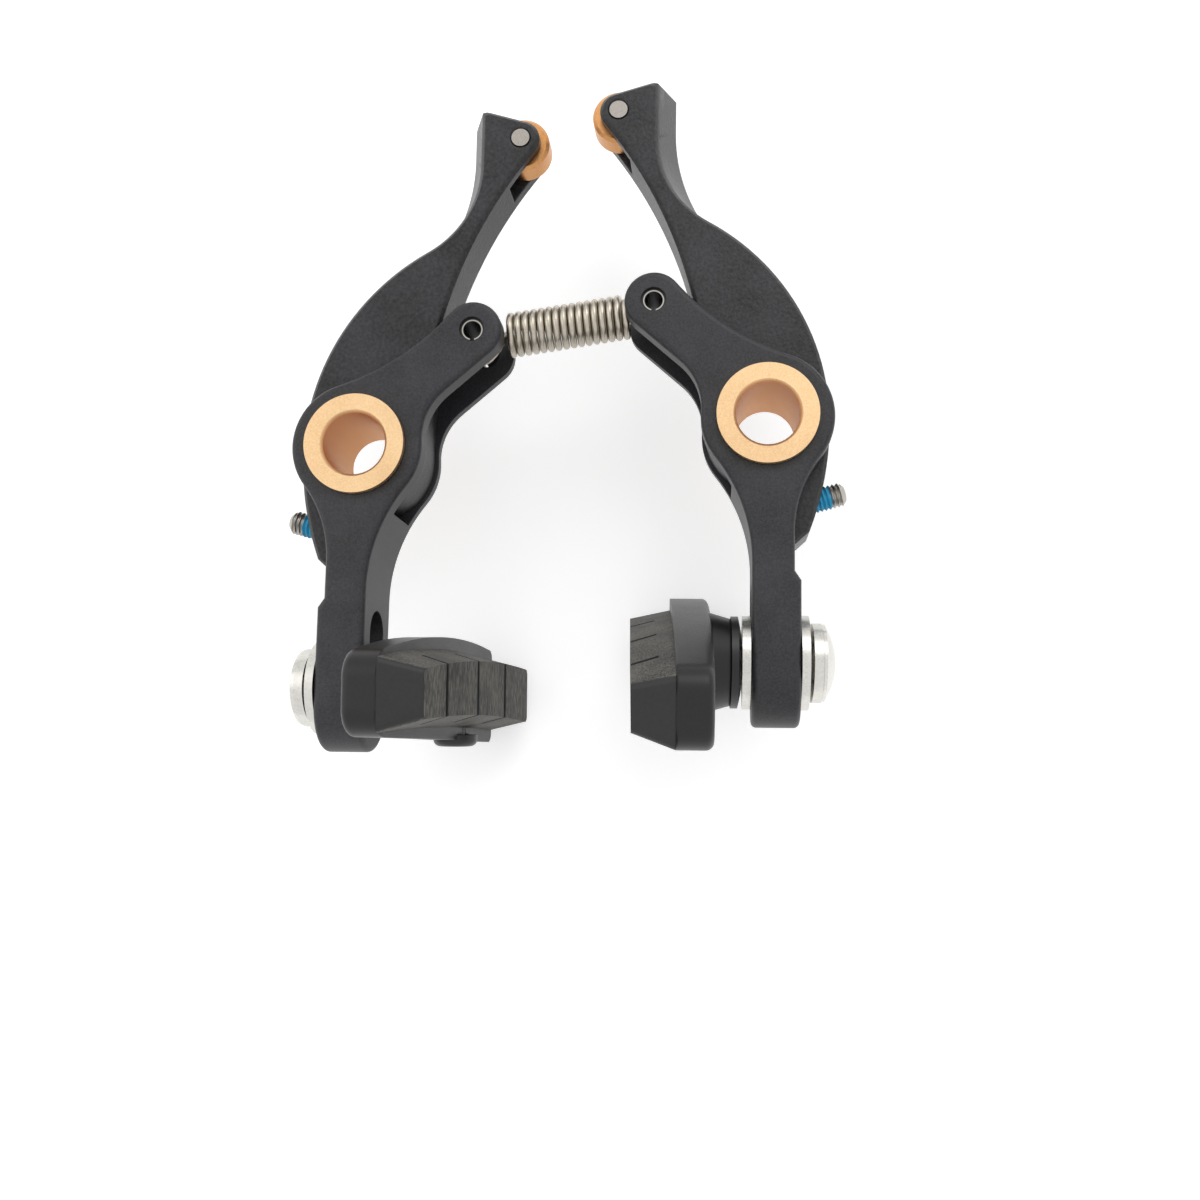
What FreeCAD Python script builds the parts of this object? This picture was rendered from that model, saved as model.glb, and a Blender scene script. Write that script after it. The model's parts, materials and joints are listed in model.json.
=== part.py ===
"""Two-arm bicycle rim brake, wedge operated, in millimetres.

Each side is drawn in a frame of its own: the pivot axis is Y through the origin, x points
towards the wheel's middle plane, z points up, and the front with the bush flange is at -y.
The left side is placed as drawn, and the right side is its mirror image.
"""
import FreeCAD
import Part
import math
import os

V = FreeCAD.Vector
X_AXIS = V(1, 0, 0)
Y_AXIS = V(0, 1, 0)
Z_AXIS = V(0, 0, 1)

# Pivots: the brake is held by two bolts through the bushes
PIVOT_SPACING = 65.4
REST_LEAN = 4.0

# Flanged bronze bush
BUSH_LENGTH = 16.5
BUSH_BORE = 10.0
BUSH_WALL = 1.0
FLANGE_DIAMETER = 16.0
FLANGE_THICKNESS = 1.0
BORE_CHAMFER = 0.4
RUNNING_CLEARANCE = 0.05
AXIAL_PLAY = 0.25

# Brake arm: a fork of two plates on a leg
EYE_RADIUS = 10.5
FRONT_PLATE = 3.5
LUG_RADIUS = 4.7
LUG_UPPER_HOLLOW = 40.0
LUG_LOWER_SLOPE = 41.0
LUG_LOWER_HOLLOW = 10.0
LEG_INNER_X = 2.4
LEG_INNER_HOLLOW = 27.0
NECK_X = -4.2
NECK_HOLLOW = 20.0
NECK_END_Z = -24.5
SEAT_TOP_Z = -26.0
LEG_OUTER_X = -5.2
ARM_EDGE_ROUND = 0.9
FORK_FLOOR_Z = -10.5
FORK_POCKET_Z = -22.5

# Height of the pad bolt, and the slot in the leg that it slides in
PAD_Z = -38.2
PAD_RISE = 8.8
PAD_DROP = 2.8
PAD_SLOT_WIDTH = 7.4
PAD_SLOT_TOP_Z = PAD_Z + PAD_RISE
PAD_SLOT_LOW_Z = PAD_Z - PAD_DROP

# Return spring and the pins it hooks on
SPRING_PIN_X = 18.1
SPRING_PIN_Z = 18.9
SPRING_PIN_DIAMETER = 4.0
SPRING_PIN_WALL = 0.6
SPRING_PIN_GAP = 0.7
SPRING_PIN_RECESS = 0.5
PRESS_CLEARANCE = 0.02
SPRING_DIAMETER = 7.4
SPRING_WIRE = 1.2
SPRING_COILS = 16
SPRING_COIL_LENGTH = 20.4
SPRING_RISE = 1.0
HOOK_CLEARANCE = 0.15

# Lever that works in the fork
LEVER_THICKNESS = 8.7
FORK_PLAY = 0.2
LEVER_BOSS_RADIUS = 9.9
LEVER_EDGE_BEVEL = 0.6
NOSE_X = 24.5
NOSE_Z = 53.1
NOSE_RADIUS = 3.1
BELLY_HOLLOW = 78.0
TOP_DIP = 1.1
BACK_X = -9.95
BACK_RADIUS = 38.9
FRONT_HEAD_X = 18.0
FRONT_TIP_Z = 58.8
FRONT_THROAT = 17.0
REAR_HEAD_X = 15.3
REAR_TIP_Z = 61.0
REAR_THROAT = 30.0

# Tail of the lever with the set screw that spaces it from the leg
TAIL_RADIUS = 50.0
TAIL_CORNER_Z = -17.7
TAIL_STEP_X = -4.6
TAIL_STEP_Z = -19.6
TAIL_END_Z = -20.1
TAIL_TRAVEL_GAP = 1.3
SCREW_X = -9.0
SCREW_Z = -11.7
SCREW_SLOPE = 14.5
SCREW_DIAMETER = 4.0
SCREW_LENGTH = 12.0
SCREW_PROUD = 3.7
SCREW_SOCKET = 2.0
SCREW_SOCKET_DEPTH = 2.5
SCREW_CHAMFER = 0.5
SCREW_BEARING_GAP = 0.3
THREAD_CLEARANCE = 0.02

# Roller that rides on the wedge
ROLLER_DIAMETER = 9.0
ROLLER_LENGTH = 4.4
ROLLER_CHAMFER = 0.5
ROLLER_PLAY = 0.15
ROLLER_PIN_DIAMETER = 3.0
PIN_MOUTH_CHAMFER = 0.35
ROLLER_SLOT_BACK = 5.2
ROLLER_SLOT_FLOOR = 7.4

# Pad bolt and its washers, stacked along x
BOLT_DIAMETER = 6.0
BOLT_REACH = 5.0
HEAD_DIAMETER = 12.3
HEAD_HEIGHT = 2.3
HEAD_RIM = 0.5
HEX_SOCKET = 4.0
HEX_DEPTH = 1.8
SEAT_GAP = 0.1
CUP_THICKNESS = 1.3
CUP_HOLE = 7.2
INNER_CUP_DIAMETER = 14.8
INNER_BALL_DIAMETER = 14.6
INNER_BALL_RIM = 1.1
OUTER_CUP_DIAMETER = 15.0
OUTER_BALL_DIAMETER = 12.6
OUTER_BALL_RIM = 1.2
SEAT_SPHERE = 30.0
TOE_GAP = 0.75
WASHER_CLEARANCE = 0.15
FACE_GAP = 0.05

# Pad holder and rubber pad, measured along the pad from the bolt axis
LEFT_TOE_LEAN = 3.9
RIGHT_TOE_LEAN = 1.9
LEFT_PITCH_LEAN = 3.2
RIGHT_PITCH_LEAN = 16.0
RIM_RADIUS = 305.0
PAD_NEAR = 31.0
PAD_FAR = 23.8
HOLDER_NEAR_HEIGHT = 11.4
HOLDER_MIDDLE_HEIGHT = 16.0
HOLDER_FAR_HEIGHT = 16.2
HOLDER_DEPTH = 6.1
HOLDER_CORNER = 4.0
HOLDER_FAR_CORNER = 1.6
HOLDER_BACK_ROUND = 1.2
BOSS_LENGTH = 3.1
BOSS_FOOT = 2.2
BOSS_TOP_DIAMETER = 13.8
BOSS_BASE_DIAMETER = 15.6
JOINT_TAPER = 1.6
FACE_TAPER = 2.6
PAD_DEPTH = 6.6
BASE_NEAR_HEIGHT = 10.3
BASE_MIDDLE_HEIGHT = 12.2
BASE_FAR_HEIGHT = 12.0
FACE_NEAR_HEIGHT = 6.9
FACE_MIDDLE_HEIGHT = 8.4
FACE_FAR_HEIGHT = 9.2
PAD_END_SLOPE = 1.8
PAD_EDGE_ROUND = 1.0
GROOVE_WIDTH = 1.0
GROOVE_DEPTH = 4.0
GROOVE_COUNT = 3
GROOVE_SPACING = 14.2
GROOVE_MIDDLE = -5.7
TANG_HEIGHT = 7.6
TANG_DEPTH = 2.8
TANG_START = 27.0
TANG_FIT = 0.05
KEEPER_Y = 7.8
KEEPER_DIAMETER = 3.0
KEEPER_HEAD = 7.2
KEEPER_HEAD_HEIGHT = 1.9
KEEPER_FLAT = 0.4
KEEPER_BITE = 1.5

# Worked out from the sizes above
SLEEVE_RADIUS = BUSH_BORE / 2 + BUSH_WALL
ARM_THICKNESS = BUSH_LENGTH - FLANGE_THICKNESS - 2 * AXIAL_PLAY
ARM_FRONT_Y = -AXIAL_PLAY - ARM_THICKNESS
ARM_REAR_Y = -AXIAL_PLAY
ARM_MIDDLE_Y = (ARM_FRONT_Y + ARM_REAR_Y) / 2
FORK_WIDTH = LEVER_THICKNESS + 2 * FORK_PLAY
FORK_FRONT_Y = ARM_FRONT_Y + FRONT_PLATE
LEVER_FRONT_Y = FORK_FRONT_Y + FORK_PLAY
LEVER_MIDDLE_Y = LEVER_FRONT_Y + LEVER_THICKNESS / 2
LEG_END_Z = PAD_SLOT_LOW_Z - ARM_THICKNESS / 2
LEG_MIDDLE_X = (LEG_INNER_X + LEG_OUTER_X) / 2
SPRING_PIN = V(SPRING_PIN_X, 0, SPRING_PIN_Z)
NOSE = V(NOSE_X, 0, NOSE_Z)
BACK = V(BACK_X + BACK_RADIUS, 0, 0)
ROLLER_FRONT_Y = LEVER_MIDDLE_Y - ROLLER_LENGTH / 2
INNER_CUP_X = LEG_INNER_X + SEAT_GAP
INNER_BALL_X = INNER_CUP_X + CUP_THICKNESS
HOLDER_BACK_X = INNER_BALL_X + TOE_GAP + INNER_BALL_RIM + FACE_GAP + BOSS_LENGTH
JOINT_X = HOLDER_BACK_X + HOLDER_DEPTH
FACE_X = JOINT_X + PAD_DEPTH
OUTER_CUP_X = LEG_OUTER_X - SEAT_GAP
OUTER_BALL_X = OUTER_CUP_X - CUP_THICKNESS
HEAD_X = OUTER_BALL_X - TOE_GAP - OUTER_BALL_RIM - FACE_GAP
PAD_BOLT = V(0, ARM_MIDDLE_Y, PAD_Z)
PAD_MIDDLE = (PAD_FAR - PAD_NEAR) / 2
HOLDER_HEIGHTS = (HOLDER_NEAR_HEIGHT, HOLDER_MIDDLE_HEIGHT, HOLDER_FAR_HEIGHT)
BASE_HEIGHTS = (BASE_NEAR_HEIGHT, BASE_MIDDLE_HEIGHT, BASE_FAR_HEIGHT)
FACE_HEIGHTS = (FACE_NEAR_HEIGHT, FACE_MIDDLE_HEIGHT, FACE_FAR_HEIGHT)
KEEPER_SEAT_Z = PAD_Z - HOLDER_MIDDLE_HEIGHT / 2 + KEEPER_FLAT
REST_TOE = {"left": LEFT_TOE_LEAN, "right": RIGHT_TOE_LEAN}
REST_PITCH = {"left": LEFT_PITCH_LEAN, "right": RIGHT_PITCH_LEAN}
FAR_AWAY = 60.0


def around(centre, radius, angle):
    """Point on a circle in the XZ plane, angle in degrees from x towards z."""
    turn = math.radians(angle)
    return centre + V(radius * math.cos(turn), 0, radius * math.sin(turn))


def angle_of(direction):
    return math.degrees(math.atan2(direction.z, direction.x))


def bend(centre, radius, start_angle, end_angle):
    """One arc step of an outline: the point halfway and the point at its end."""
    middle = around(centre, radius, (start_angle + end_angle) / 2)
    return middle, around(centre, radius, end_angle)


def outline(start, *steps):
    """Closed wire from points, joined by lines, and arcs given as (middle, end)."""
    edges = []
    here = start
    for step in steps + (start,):
        if isinstance(step, tuple):
            middle, end = step
            edges.append(Part.Arc(here, middle, end).toShape())
        else:
            end = step
            if here.distanceToPoint(end) < 1e-6:
                continue
            edges.append(Part.LineSegment(here, end).toShape())
        here = end
    return Part.Wire(edges)


def plate(wire, front_y, thickness):
    """Solid of an outline in the XZ plane, from front_y towards the rear."""
    solid = Part.Face(wire).extrude(V(0, thickness, 0))
    solid.translate(V(0, front_y, 0))
    return solid


def rod_y(radius, centre, front_y, length):
    return Part.makeCylinder(radius, length, V(centre.x, front_y, centre.z), Y_AXIS)


def rod_x(radius, start_x, length, centre=PAD_BOLT):
    return Part.makeCylinder(radius, length, V(start_x, centre.y, centre.z), X_AXIS)


def hollow_centre(radius, first, first_radius, second, second_radius, side):
    """Centre of the arc that touches two discs from outside, left (1) or right (-1) of their line."""
    span = second - first
    near = radius + first_radius
    along = (near ** 2 - (radius + second_radius) ** 2 + span.dot(span)) / (2 * span.Length)
    way = span * (1 / span.Length)
    return first + way * along + V(-way.z, 0, way.x) * (side * math.sqrt(near ** 2 - along ** 2))


def first_crossing(base, way, radius):
    """Where a line from base along a unit direction enters the circle about the pivot."""
    along = base.dot(way)
    return base - way * (along + math.sqrt(along ** 2 - base.dot(base) + radius ** 2))


def edges_on_plane(shape, y):
    return [edge for edge in shape.Edges
            if abs(edge.BoundBox.YMin - y) < 1e-4 and abs(edge.BoundBox.YMax - y) < 1e-4]


def lug_lower_side():
    """Straight lower side of the lug: its start, the hollow that ends it, and its outward normal."""
    along = around(V(), 1, LUG_LOWER_SLOPE)
    normal = V(along.z, 0, -along.x)
    base = SPRING_PIN + normal * (LUG_RADIUS + LUG_LOWER_HOLLOW)
    back = base.dot(along)
    reach = math.sqrt((EYE_RADIUS + LUG_LOWER_HOLLOW) ** 2 - base.dot(base) + back ** 2)
    return SPRING_PIN + normal * LUG_RADIUS, base + along * (reach - back), normal


def arm_outline():
    """Front view of an arm: lug, eye and leg joined by hollow arcs."""
    pivot = V()
    upper = hollow_centre(LUG_UPPER_HOLLOW, pivot, EYE_RADIUS, SPRING_PIN, LUG_RADIUS, 1)
    lug_start, lower, normal = lug_lower_side()
    neck_x = NECK_X - NECK_HOLLOW
    neck = V(neck_x, 0, -math.sqrt((EYE_RADIUS + NECK_HOLLOW) ** 2 - neck_x ** 2))
    inner_x = LEG_INNER_X + LEG_INNER_HOLLOW
    inner = V(inner_x, 0, -math.sqrt((EYE_RADIUS + LEG_INNER_HOLLOW) ** 2 - inner_x ** 2))
    lug_low = angle_of(normal)
    lug_high = angle_of(upper - SPRING_PIN)
    return outline(
        lug_start,
        bend(SPRING_PIN, LUG_RADIUS, lug_low, lug_high),
        bend(upper, LUG_UPPER_HOLLOW, lug_high - 180, angle_of(upper) - 180),
        bend(pivot, EYE_RADIUS, angle_of(upper), angle_of(neck) + 360),
        bend(neck, NECK_HOLLOW, angle_of(neck) + 180, 0),
        V(NECK_X, 0, NECK_END_Z),
        V(LEG_OUTER_X, 0, SEAT_TOP_Z),
        V(LEG_OUTER_X, 0, LEG_END_Z),
        V(LEG_INNER_X, 0, LEG_END_Z),
        V(LEG_INNER_X, 0, inner.z),
        bend(inner, LEG_INNER_HOLLOW, 180, angle_of(inner) + 180),
        bend(pivot, EYE_RADIUS, angle_of(inner), angle_of(lower)),
        bend(lower, LUG_LOWER_HOLLOW, angle_of(lower) + 180, lug_low + 180),
    )


def screw_axis():
    """Place where the set screw leaves the tail, and its outward direction."""
    return V(SCREW_X, LEVER_MIDDLE_Y, SCREW_Z), around(V(), 1, 180 - SCREW_SLOPE)


def bearing_point(z, gap=0.0):
    """Point at a height on the leg's face that the set screw bears on, or a gap before it."""
    place, outward = screw_axis()
    reach = SCREW_LENGTH - SCREW_PROUD + SCREW_BEARING_GAP - gap
    foot = place - outward * reach
    return V(foot.x + (z - foot.z) * math.tan(math.radians(SCREW_SLOPE)), 0, z)


def fork_gap():
    """The space between the two plates, with a deeper pocket for the lever's tail."""
    wire = outline(
        V(-FAR_AWAY, 0, FORK_POCKET_Z),
        bearing_point(FORK_POCKET_Z),
        bearing_point(FORK_FLOOR_Z),
        V(FAR_AWAY, 0, FORK_FLOOR_Z),
        V(FAR_AWAY, 0, FAR_AWAY),
        V(-FAR_AWAY, 0, FAR_AWAY),
    )
    return plate(wire, FORK_FRONT_Y, FORK_WIDTH)


def pad_slot():
    """Long hole through the leg along x."""
    radius = PAD_SLOT_WIDTH / 2
    low = V(0, ARM_MIDDLE_Y, PAD_SLOT_LOW_Z)
    top = V(0, ARM_MIDDLE_Y, PAD_SLOT_TOP_Z)
    middle = Part.makeBox(2 * FAR_AWAY, PAD_SLOT_WIDTH, PAD_SLOT_TOP_Z - PAD_SLOT_LOW_Z,
                          V(-FAR_AWAY, ARM_MIDDLE_Y - radius, PAD_SLOT_LOW_Z))
    ends = [rod_x(radius, -FAR_AWAY, 2 * FAR_AWAY, low), rod_x(radius, -FAR_AWAY, 2 * FAR_AWAY, top)]
    return middle.multiFuse(ends)


def leg_end_form():
    """Everything above the half-round lower end of the leg."""
    radius = ARM_THICKNESS / 2
    end = rod_x(radius, -FAR_AWAY, 2 * FAR_AWAY, V(0, ARM_MIDDLE_Y, PAD_SLOT_LOW_Z))
    above = Part.makeBox(2 * FAR_AWAY, ARM_THICKNESS, 2 * FAR_AWAY,
                         V(-FAR_AWAY, ARM_FRONT_Y, PAD_SLOT_LOW_Z))
    return end.fuse(above)


def brake_arm():
    arm = plate(arm_outline(), ARM_FRONT_Y, ARM_THICKNESS).common(leg_end_form())
    arm = arm.removeSplitter()
    front = [edge for edge in edges_on_plane(arm, ARM_FRONT_Y)
             if abs(edge.BoundBox.ZMax - PAD_SLOT_LOW_Z) > 1e-4]
    arm = arm.makeFillet(ARM_EDGE_ROUND, front)
    holes = [
        fork_gap(),
        pad_slot(),
        rod_y(SLEEVE_RADIUS + RUNNING_CLEARANCE, V(), ARM_FRONT_Y, ARM_THICKNESS),
        rod_y(SPRING_PIN_DIAMETER / 2 + PRESS_CLEARANCE, SPRING_PIN, ARM_FRONT_Y, ARM_THICKNESS),
    ]
    return arm.cut(holes[0].multiFuse(holes[1:]))


def pivot_bush():
    radius = BUSH_BORE / 2
    profile = [
        V(radius, 0, 0),
        V(SLEEVE_RADIUS, 0, 0),
        V(SLEEVE_RADIUS, FLANGE_THICKNESS - BUSH_LENGTH, 0),
        V(FLANGE_DIAMETER / 2, FLANGE_THICKNESS - BUSH_LENGTH, 0),
        V(FLANGE_DIAMETER / 2, -BUSH_LENGTH, 0),
        V(radius + BORE_CHAMFER, -BUSH_LENGTH, 0),
        V(radius, BORE_CHAMFER - BUSH_LENGTH, 0),
    ]
    section = Part.Face(Part.makePolygon(profile + profile[:1]))
    return section.revolve(V(), Y_AXIS, 360)


def spring_pin():
    """Rolled steel pin with a slit along its length."""
    radius = SPRING_PIN_DIAMETER / 2
    front = ARM_FRONT_Y + SPRING_PIN_RECESS
    length = ARM_THICKNESS - 2 * SPRING_PIN_RECESS
    pin = rod_y(radius, SPRING_PIN, front, length)
    hollow = rod_y(radius - SPRING_PIN_WALL, SPRING_PIN, front, length)
    slit = Part.makeBox(SPRING_PIN_GAP, length, radius,
                        V(SPRING_PIN_X - SPRING_PIN_GAP / 2, front, SPRING_PIN_Z - radius))
    return pin.cut(hollow.fuse(slit))


def lever_outline(head_x, tip_z, throat_radius, inset=0.0):
    """Outline of the lever, drawn in by an inset: nose, hollow top, throat, round back, tail and boss."""
    pivot = V()
    belly = hollow_centre(BELLY_HOLLOW, pivot, LEVER_BOSS_RADIUS, NOSE, NOSE_RADIUS, -1)
    boss_angle = angle_of(belly)
    nose_angle = angle_of(belly - NOSE)
    boss = LEVER_BOSS_RADIUS - inset
    nose = NOSE_RADIUS - inset
    to_nose = NOSE - V(head_x, 0, tip_z)
    top_slope = angle_of(to_nose) + math.degrees(math.asin(NOSE_RADIUS / to_nose.Length))
    shoulder = around(NOSE, nose, top_slope + 90)
    edge_x = head_x + inset
    dip = TOP_DIP - inset
    rise = math.tan(math.radians(top_slope))
    dip_x = edge_x + dip
    tip = V(edge_x, 0, shoulder.z + (dip_x - shoulder.x) * rise - dip * math.hypot(1, rise))
    top_low = around(V(dip_x, 0, tip.z), dip, top_slope / 2 - 45)
    throat_x = head_x - throat_radius
    throat = V(throat_x, 0, math.sqrt((throat_radius + BACK_RADIUS) ** 2 - (BACK.x - throat_x) ** 2))
    back_angle = angle_of(throat - BACK)
    tail = V(BACK_X + TAIL_RADIUS, 0, 0)
    tail_angle = 180 + math.degrees(math.asin(-TAIL_CORNER_Z / TAIL_RADIUS))
    foot = bearing_point(TAIL_END_Z + inset, TAIL_TRAVEL_GAP + inset)
    wall = first_crossing(foot, around(V(), 1, 90 - SCREW_SLOPE), boss)
    return outline(
        around(pivot, boss, boss_angle),
        bend(belly, BELLY_HOLLOW + inset, boss_angle + 180, nose_angle + 180),
        bend(NOSE, nose, nose_angle, top_slope + 90),
        (top_low, tip),
        V(edge_x, 0, throat.z),
        bend(throat, throat_radius + inset, 0, back_angle - 180),
        bend(BACK, BACK_RADIUS - inset, back_angle, 180),
        bend(tail, TAIL_RADIUS - inset, 180, tail_angle),
        V(TAIL_STEP_X, 0, TAIL_STEP_Z + inset),
        foot,
        wall,
        bend(pivot, boss, angle_of(wall), boss_angle),
    )


def roller_slot():
    """Square slot in the lever's nose for the roller, open at the top and on the inner side."""
    belly = hollow_centre(BELLY_HOLLOW, V(), LEVER_BOSS_RADIUS, NOSE, NOSE_RADIUS, -1)
    inward = (belly - NOSE) * (1 / (belly - NOSE).Length)
    middle = NOSE + V(inward.z, 0, -inward.x) * ROLLER_SLOT_FLOOR
    back_x = NOSE_X - ROLLER_SLOT_BACK
    corner = middle + inward * ((back_x - middle.x) / inward.x)
    open_side = corner + inward * FAR_AWAY
    width = ROLLER_LENGTH + 2 * ROLLER_PLAY
    wire = outline(corner, open_side, V(open_side.x, 0, NOSE_Z + FAR_AWAY), V(back_x, 0, NOSE_Z + FAR_AWAY))
    return plate(wire, LEVER_MIDDLE_Y - width / 2, width)


def lever():
    """Blank whose outer side leans outwards to the rear, then drilled and slotted."""
    bevel = lever_outline(FRONT_HEAD_X, FRONT_TIP_Z, FRONT_THROAT, LEVER_EDGE_BEVEL)
    bevel.translate(V(0, LEVER_FRONT_Y, 0))
    front = lever_outline(FRONT_HEAD_X, FRONT_TIP_Z, FRONT_THROAT)
    front.translate(V(0, LEVER_FRONT_Y + LEVER_EDGE_BEVEL, 0))
    rear = lever_outline(REAR_HEAD_X, REAR_TIP_Z, REAR_THROAT)
    rear.translate(V(0, LEVER_FRONT_Y + LEVER_THICKNESS, 0))
    body = Part.makeLoft([bevel, front, rear], True, True)
    place, outward = screw_axis()
    pin_radius = ROLLER_PIN_DIAMETER / 2
    mouth = Part.makeCone(pin_radius + PIN_MOUTH_CHAMFER, pin_radius, PIN_MOUTH_CHAMFER,
                          V(NOSE_X, LEVER_FRONT_Y, NOSE_Z), Y_AXIS)
    holes = [
        roller_slot(),
        mouth,
        rod_y(SLEEVE_RADIUS + RUNNING_CLEARANCE, V(), LEVER_FRONT_Y, LEVER_THICKNESS),
        rod_y(pin_radius + PRESS_CLEARANCE, NOSE, LEVER_FRONT_Y, LEVER_THICKNESS),
        Part.makeCylinder(SCREW_DIAMETER / 2 + THREAD_CLEARANCE, 2 * SCREW_LENGTH,
                          place + outward * SCREW_LENGTH, outward * -1),
    ]
    return body.cut(holes[0].multiFuse(holes[1:]))


def roller():
    body = rod_y(ROLLER_DIAMETER / 2, NOSE, ROLLER_FRONT_Y, ROLLER_LENGTH)
    rims = edges_on_plane(body, ROLLER_FRONT_Y) + edges_on_plane(body, ROLLER_FRONT_Y + ROLLER_LENGTH)
    body = body.makeChamfer(ROLLER_CHAMFER, rims)
    bore = ROLLER_PIN_DIAMETER / 2 + RUNNING_CLEARANCE
    return body.cut(rod_y(bore, NOSE, ROLLER_FRONT_Y, ROLLER_LENGTH))


def roller_pin():
    return rod_y(ROLLER_PIN_DIAMETER / 2, NOSE, LEVER_FRONT_Y, LEVER_THICKNESS)


def hexagon(across_flats, depth):
    """Hexagonal prism along z from the origin."""
    corner = across_flats / math.sqrt(3)
    points = [V(corner * math.cos(math.radians(60 * side)), corner * math.sin(math.radians(60 * side)), 0)
              for side in range(7)]
    return Part.Face(Part.makePolygon(points)).extrude(V(0, 0, depth))


def set_screw():
    """Headless screw with a socket at its outer end."""
    radius = SCREW_DIAMETER / 2
    body = Part.makeCylinder(radius, SCREW_LENGTH)
    rims = [edge for edge in body.Edges if edge.BoundBox.ZLength < 1e-6]
    body = body.makeChamfer(SCREW_CHAMFER, rims)
    socket = hexagon(SCREW_SOCKET, SCREW_SOCKET_DEPTH)
    socket.translate(V(0, 0, SCREW_LENGTH - SCREW_SOCKET_DEPTH))
    body = body.cut(socket)
    place, outward = screw_axis()
    foot = place - outward * (SCREW_LENGTH - SCREW_PROUD)
    body.Placement = FreeCAD.Placement(foot, FreeCAD.Rotation(Z_AXIS, outward))
    return body


def ball_centre_x(cup_radius, rim_x, side):
    """Centre of a washer pair's spherical faces, on the side away from the leg."""
    return rim_x + side * math.sqrt(SEAT_SPHERE ** 2 - cup_radius ** 2)


def cup_washer(diameter, seat_x, side):
    """Flat against the leg, hollow on the other face."""
    rim_x = seat_x + side * CUP_THICKNESS
    centre = V(ball_centre_x(diameter / 2, rim_x, side), PAD_BOLT.y, PAD_BOLT.z)
    start = min(seat_x, rim_x)
    body = rod_x(diameter / 2, start, CUP_THICKNESS)
    hole = rod_x(CUP_HOLE / 2, start, CUP_THICKNESS)
    return body.cut(Part.makeSphere(SEAT_SPHERE, centre).fuse(hole))


def ball_washer(diameter, cup_diameter, rim_x, rim_thickness, side):
    """Flat on its outer face, rounded on the face that rocks in the cup."""
    centre = V(ball_centre_x(cup_diameter / 2, rim_x, side), PAD_BOLT.y, PAD_BOLT.z)
    ball = Part.makeSphere(SEAT_SPHERE - TOE_GAP, centre)
    outer_x = rim_x + side * (TOE_GAP + rim_thickness)
    length = 2 * CUP_THICKNESS + TOE_GAP + rim_thickness
    body = rod_x(diameter / 2, min(outer_x, outer_x - side * length), length)
    hole = rod_x(BOLT_DIAMETER / 2 + WASHER_CLEARANCE, min(outer_x, outer_x - side * length), length)
    return body.common(ball).cut(hole)


def pad_bolt():
    """Dome-headed screw whose end is held in the holder's boss."""
    radius = HEAD_DIAMETER / 2
    rise = HEAD_HEIGHT - HEAD_RIM
    sphere = (radius ** 2 + rise ** 2) / (2 * rise)
    dome = Part.makeSphere(sphere, V(HEAD_X - HEAD_HEIGHT + sphere, PAD_BOLT.y, PAD_BOLT.z))
    head = rod_x(radius, HEAD_X - HEAD_HEIGHT, HEAD_HEIGHT).common(dome)
    socket = hexagon(HEX_SOCKET, HEX_DEPTH)
    socket.Placement = FreeCAD.Placement(V(HEAD_X - HEAD_HEIGHT, PAD_BOLT.y, PAD_BOLT.z),
                                         FreeCAD.Rotation(Z_AXIS, X_AXIS))
    shank = rod_x(BOLT_DIAMETER / 2, HEAD_X, HOLDER_BACK_X - BOSS_LENGTH + BOLT_REACH - HEAD_X)
    return head.cut(socket).fuse(shank)


def pad_band(x, tilt, heights, near, far):
    """Upright outline along the rim, through (x, bolt axis), leant inwards at the far end."""
    low = []
    high = []
    for along, height in zip((-near, (far - near) / 2, far), heights):
        rise = math.sqrt(RIM_RADIUS ** 2 - (along - PAD_MIDDLE) ** 2) - RIM_RADIUS
        across = x + along * math.tan(math.radians(tilt))
        low.append(V(across, ARM_MIDDLE_Y + along, PAD_Z + rise - height / 2))
        high.append(V(across, ARM_MIDDLE_Y + along, PAD_Z + rise + height / 2))
    edges = [
        Part.Arc(low[0], low[1], low[2]),
        Part.LineSegment(low[2], high[2]),
        Part.Arc(high[2], high[1], high[0]),
        Part.LineSegment(high[0], low[0]),
    ]
    return Part.Wire([edge.toShape() for edge in edges])


def tang(clearance):
    """Rib on the pad's back that slides into the holder from its far end."""
    heights = (TANG_HEIGHT + 2 * clearance,) * 3
    near = TANG_START + clearance
    far = PAD_FAR + clearance
    back = pad_band(JOINT_X - TANG_DEPTH - clearance, JOINT_TAPER, heights, near, far)
    root = pad_band(JOINT_X + clearance, JOINT_TAPER, heights, near, far)
    return Part.makeLoft([back, root], True, True)


def keeper_rod(radius, low_z, length):
    """Upright round on the axis of the small screw that keeps the pad in its holder."""
    lean = math.tan(math.radians(JOINT_TAPER))
    foot = V(JOINT_X - TANG_DEPTH / 2 + KEEPER_Y * lean, ARM_MIDDLE_Y + KEEPER_Y, low_z)
    return Part.makeCylinder(radius, length, foot, Z_AXIS)


def corner_edges(shape, depth):
    """Edges that run from the back of a pad piece to its front."""
    return [edge for edge in shape.Edges if edge.BoundBox.XLength > depth / 2 > edge.BoundBox.YLength]


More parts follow.
